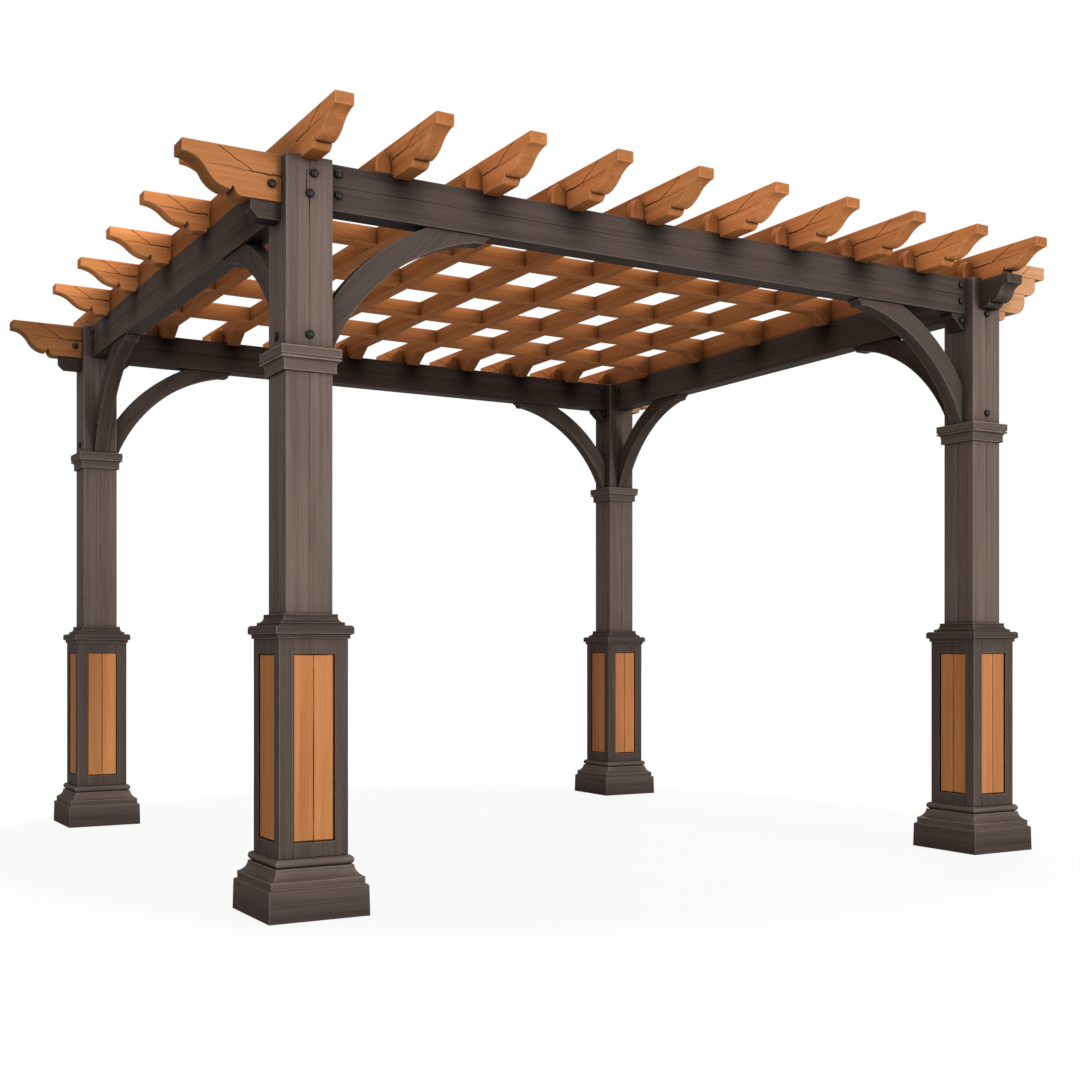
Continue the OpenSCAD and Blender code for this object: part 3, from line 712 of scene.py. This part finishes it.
# %% Mesh helper
def make_piece(name, points, faces, material, slot, smooth):
    """A piece from an (n, 3) array of points and a list of faces, riding with the frame."""
    mesh = bpy.data.meshes.new(name)
    mesh.from_pydata(np.asarray(points, float).tolist(), [], faces)
    mesh.polygons.foreach_set("use_smooth", np.full(len(mesh.polygons), smooth))
    mesh.materials.append(material)
    mesh.update()
    piece = bpy.data.objects.new(name, mesh)
    scene.collection.objects.link(piece)
    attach(piece, "root")
    print(name, len(mesh.vertices), "points", len(mesh.polygons), "faces")


# %% [markdown]
# ## Bolt heads
#
# Black dome-headed bolts hold the beams, tails and braces to the posts. A head is turned on a
# lathe: a short cylinder and a dome, as a profile carried round an axis. All heads come from one
# array product of places, profile and angles.

# %% Lathe
def turned_heads(places, normals, profile, sides=24):
    """Heads of revolution. With the profile (r_i, h_i) from rim to crown, the point i, j of a head at P is
    P + r_i (cos t_j U + sin t_j V) + h_i N, where t_j = 2 pi j / sides and U, V, N are at right angles."""
    P = np.asarray(places, float)
    N = np.asarray(normals, float)
    U = np.stack([-N[:, 1], N[:, 0], np.zeros(len(N))], 1)
    V = np.cross(N, U)
    t = 2 * np.pi * np.arange(sides) / sides
    ring = np.cos(t)[None, :, None] * U[:, None, :] + np.sin(t)[None, :, None] * V[:, None, :]
    r = profile[:, 0][None, :, None, None]
    h = profile[:, 1][None, :, None, None]
    grid = P[:, None, None, :] + r * ring[:, None] + h * N[:, None, None, :]
    rows = len(profile)
    start = (np.arange(len(P)) * rows * sides)[:, None, None]
    i = np.arange(rows - 1)[None, :, None] * sides
    j = np.arange(sides)[None, None, :]
    k = (j + 1) % sides
    quads = np.stack([start + i + j, start + i + k, start + i + sides + k, start + i + sides + j], -1)
    crowns = start[:, 0] + (rows - 1) * sides + np.arange(sides)[None, :]
    backs = start[:, 0] + np.arange(sides)[None, ::-1]
    return grid.reshape(-1, 3), quads.reshape(-1, 4).tolist() + crowns.tolist() + backs.tolist()


print("lathe ready")


# %% Where the bolts go
BOLT_INSET = 0.032
LOW_BOLT = 0.048
HIGH_BOLT = 0.030
TAIL_BOLT = 0.050
COLLAR_BOLT = 0.040
BRACKET_IN = 0.021
BRACKET_DOWN = 0.026
BRACKET_HALF = box_of("corbels")[1][1] - POST_Y
# Sideways offset and height of the bolts on the left (-1) and the right (1) posts
POST_BOLTS = {
    -1: ((0.0, BEAM_Z + 0.028), (0.014, BEAM_Z + 0.090), (0.0, COLLAR_TOP + COLLAR_BOLT)),
    1: ((0.0, BEAM_Z + 0.002), (0.0, COLLAR_TOP + COLLAR_BOLT)),
}


def bolt_places():
    """On the faces of the beams near the posts, on the posts, the left tails and the brackets."""
    spots = []
    beside = POST_HALF + BOLT_INSET
    for sx in (-1, 1):
        for sy in (-1, 1):
            x = sx * POST_X
            y = sy * POST_Y
            for z in (BEAM_Z + LOW_BOLT, BEAM_TOP - HIGH_BOLT):
                for face in (-1, 1):
                    spots.append(((x - sx * beside, y + face * BEAM_HALF, z), (0, face, 0)))
                    spots.append(((x + face * BEAM_HALF, y - sy * beside, z), (face, 0, 0)))
            for side, z in POST_BOLTS[sx]:
                spots.append(((x + side, y + sy * POST_HALF, z), (0, sy, 0)))
            spots.append(((x + sx * POST_HALF, y, COLLAR_TOP + COLLAR_BOLT), (sx, 0, 0)))
            for face in (-1, 1):
                if sx < 0:
                    spots.append(((x - beside, y + face * BEAM_HALF, BEAM_Z + TAIL_BOLT), (0, face, 0)))
                if (sx, sy) != (-1, -1):
                    inwards = sx * (POST_HALF + BRACKET_IN)
                    under = (x - inwards, y + face * BRACKET_HALF, BEAM_Z - BRACKET_DOWN)
                    spots.append((under, (0, face, 0)))
    return [spot for spot, _ in spots], [normal for _, normal in spots]


places, normals = bolt_places()
print(len(places), "bolts")


# %% Black iron and the heads
def iron(name):
    """Black coating on steel, gone a little brown with wear, with a faint unevenness."""
    material, tree = blank_material(name)
    place = add(tree, "ShaderNodeTexCoord").outputs["Object"]
    rough = noise(tree, place, 260.0, 2.0)
    colour = blend_colours(tree, rough, (0.006, 0.005, 0.005, 1.0), (0.030, 0.025, 0.022, 1.0))
    bump = add(tree, "ShaderNodeBump", {"Height": rough, "Distance": 0.0003})
    shader = add(tree, "ShaderNodeBsdfPrincipled", {
        "Base Color": colour, "Roughness": spread(tree, rough, 0.3, 0.7, 0.28, 0.46),
        "Normal": bump.outputs[0], "Specular IOR Level": 0.12})
    add(tree, "ShaderNodeOutputMaterial", {0: shader.outputs[0]})
    return material


HEAD_R = 0.0125
HEAD_SIDE = 0.0065
HEAD_DOME = 0.0055
HEAD_SUNK = 0.001
dome = np.radians(np.linspace(14.0, 84.0, 7))
head_profile = np.concatenate([
    [(HEAD_R, -HEAD_SUNK), (HEAD_R, HEAD_SIDE)],
    np.stack([HEAD_R * np.cos(dome), HEAD_SIDE + HEAD_DOME * np.sin(dome)], 1)])
points, faces = turned_heads(places, normals, head_profile)
make_piece("bolt_heads", points, faces, iron("black_iron"), "black_iron", True)

# %% [markdown]
# ## Drying cracks
#
# Squared timber opens as it dries. On each tail a dark crack follows the grain out from the beam,
# then splits into two hairlines, one along the grain and one slanting up to the top edge. On
# the posts the heart opens under the bolts. Painting them on would look flat from the side, so
# a crack is a sliver let into the face: a narrow triangle, its base just proud of the wood,
# carried along a wandering path. The waver comes from a seeded generator, so it is the same
# each run.

# %% Crack slivers
shake = np.random.default_rng(7)
PROUD = 0.0003
SUNK = 0.0025


def crack_slivers(sites, line, width, taper, steps=32):
    """Slivers in flat faces. With u = 0..1 along a crack, its middle is S + L a(u) A + H b(u) B, where
    a and b run through the corners of line; w(u) is the width through the three values of taper. The
    triangle's corners are the middle -w/2 and +w/2 across the path, PROUD of the face, and SUNK in it."""
    S, A, B, N = (np.array([site[i] for site in sites], float)[:, None, :] for i in range(4))
    L, H = (np.array([site[i] for site in sites], float)[:, None] for i in (4, 5))
    count = len(sites)
    u = np.linspace(0.0, 1.0, steps)
    knots = np.linspace(0.0, 1.0, len(line))
    waver = np.cumsum(shake.normal(0.0, 0.0006, (count, steps)), 1)
    waver -= waver[:, :1] + (waver[:, -1:] - waver[:, :1]) * u
    a = np.interp(u, knots, [p[0] for p in line]) * L
    b = np.interp(u, knots, [p[1] for p in line]) * H + waver
    w = width * np.interp(u, (0.0, 0.5, 1.0), taper) * shake.uniform(0.7, 1.25, (count, steps))
    da = np.gradient(a, axis=1)
    db = np.gradient(b, axis=1)
    across_a = -db / np.hypot(da, db) * w / 2
    across_b = da / np.hypot(da, db) * w / 2
    corners = [S + (a + s * across_a)[..., None] * A + (b + s * across_b)[..., None] * B + lift * N
               for s, lift in ((-1, PROUD), (1, PROUD), (0, -SUNK))]
    grid = np.stack(corners, 2)
    start = (np.arange(count) * steps * 3)[:, None, None]
    i = np.arange(steps - 1)[None, :, None] * 3
    k = np.arange(3)[None, None, :]
    n = (k + 1) % 3
    quads = np.stack([start + i + k, start + i + 3 + k, start + i + 3 + n, start + i + n], -1)
    first = start[:, 0] + np.array([[0, 1, 2]])
    last = start[:, 0] + 3 * (steps - 1) + np.array([[2, 1, 0]])
    left_handed = np.einsum("ij,ij->i", np.cross(A[:, 0], B[:, 0]), N[:, 0]) < 0
    for part in (quads, first, last):
        part[left_handed] = part[left_handed][..., ::-1]
    return grid.reshape(-1, 3), quads.reshape(-1, 4).tolist() + first.tolist() + last.tolist()


print("slivers ready")


# %% Faces that crack
def rafter_tails():
    """For each face of each rafter's tails: corner at the beam, out, up, normal, length and height."""
    rows = []
    for name in [n for n in solids if "rafter_" in n]:
        low, high = box_of(name)
        deep = name.startswith("rafter_")
        along, across = (1, 0) if deep else (0, 1)
        root = (POST_Y if deep else POST_X) + BEAM_HALF
        for end in (-1, 1):
            for face in (-1, 1):
                start, out, normal = np.zeros((3, 3))
                start[along] = end * root
                start[across] = high[across] if face > 0 else low[across]
                start[2] = low[2]
                out[along] = end
                normal[across] = face
                rows.append((start, out, (0, 0, 1), normal, high[along] - root, high[2] - low[2]))
    return rows


def post_tails(name, side):
    """The same for the tails on the outer faces of the left or right posts."""
    low, high = box_of(name)
    root = POST_X + POST_HALF
    reach = max(-low[0], high[0]) - root
    return [((side * root, sy * POST_Y + face * BEAM_HALF, low[2]), (side, 0, 0), (0, 0, 1), (0, face, 0),
             reach, high[2] - low[2]) for sy in (-1, 1) for face in (-1, 1)]


def post_fronts(side, z):
    """The front and back faces of the left or right posts below a height: down is along, 1 m a unit."""
    return [((side * POST_X, sy * (POST_Y + POST_HALF), z), (0, 0, -1), (1, 0, 0), (0, sy, 0), 1.0, 1.0)
            for sy in (-1, 1)]


rafter_sites = rafter_tails()
left_sites = post_tails("corner_tails", -1)
right_sites = post_tails("stepped_tails", 1)
print(len(rafter_sites), "rafter faces,", len(left_sites) + len(right_sites), "tail faces")

# %% Crack lines
SPLIT = [(-0.012, 0.54), (0.14, 0.54), (0.32, 0.55)]
SLANT = [(0.30, 0.55), (0.47, 0.76), (0.64, 0.965)]
RUN_OUT = [(0.30, 0.552), (0.52, 0.56), (0.745, 0.573)]
SPLIT_W = 0.0050
SLANT_W = 0.0023
SEAM_W = 0.0016
GROOVE_W = 0.0035
WEDGE_W = 0.0055
HAIR = 0.0017
# Height and length of the seams between the boards of a stepped tail
STEP_SEAMS = ((0.036, 0.070), (0.118, 0.184), (0.190, 0.246))
LEFT_BOLT = POST_BOLTS[-1][0][1]
RIGHT_BOLT = POST_BOLTS[1][0][1]


def scaled(line, site):
    """A line given in metres, as shares of a site's length and height."""
    return [(a / site[4], b / site[5]) for a, b in line]


STEP_CRACK = [(0.53, 0.79), (0.62, 0.87), (0.72, 0.975)]
tail_runs = [(right_sites, STEP_CRACK, HAIR, (1.0, 1.0, 0.8))]
for sites in (rafter_sites, left_sites):
    tail_runs.append((sites, SPLIT, SPLIT_W, (1.0, 0.9, 0.45)))
    tail_runs.append((sites, SLANT, SLANT_W, (1.1, 0.9, 1.0)))
    tail_runs.append((sites, RUN_OUT, HAIR, (1.0, 0.8, 0.4)))
for height, length in STEP_SEAMS:
    seam = scaled([(0.0, height), (length / 2, height), (length, height)], right_sites[0])
    tail_runs.append((right_sites, seam, SEAM_W, (1.8, 1.0, 0.8)))

groove = [(-0.070, -0.009), (-0.035, -0.009), (-0.008, -0.010)]
wedge = [(0.010, -0.004), (0.035, -0.003), (0.062, -0.002)]
hair = [(0.060, -0.002), (0.100, 0.0), (0.145, 0.001)]
post_runs = [(post_fronts(-1, LEFT_BOLT), groove, GROOVE_W, (0.8, 1.0, 1.2))]
for side, z in ((-1, LEFT_BOLT), (1, RIGHT_BOLT)):
    post_runs.append((post_fronts(side, z), wedge, WEDGE_W, (1.0, 0.6, 0.25)))
    post_runs.append((post_fronts(side, z), hair, HAIR, (1.0, 0.7, 0.4)))
print(len(tail_runs), "kinds of crack on the tails,", len(post_runs), "on the posts")


# %% Dark heart of the cracks
def dark_wood(name):
    """Bare wood deep in a crack, nearly black, dull and grimy."""
    material, tree = blank_material(name)
    place = add(tree, "ShaderNodeTexCoord").outputs["Object"]
    dirt_and_shade = noise(tree, place, 180.0, 2.0)
    colour = blend_colours(tree, dirt_and_shade, (0.012, 0.007, 0.005, 1.0), (0.040, 0.022, 0.014, 1.0))
    shader = add(tree, "ShaderNodeBsdfPrincipled", {
        "Base Color": colour, "Roughness": spread(tree, dirt_and_shade, 0.3, 0.7, 0.85, 0.97),
        "Specular IOR Level": 0.1})
    add(tree, "ShaderNodeOutputMaterial", {0: shader.outputs[0]})
    return material


def joined(runs):
    """Points and faces of the slivers of several runs, as one mesh."""
    points = np.zeros((0, 3))
    faces = []
    for run in runs:
        more, corners = crack_slivers(*run)
        faces += [[len(points) + corner for corner in face] for face in corners]
        points = np.concatenate([points, more])
    return points, faces


crack_wood = dark_wood("crack_heart")
make_piece("tail_cracks", *joined(tail_runs), crack_wood, "cedar", False)
make_piece("post_cracks", *joined(post_runs), crack_wood, "dark_stain", False)
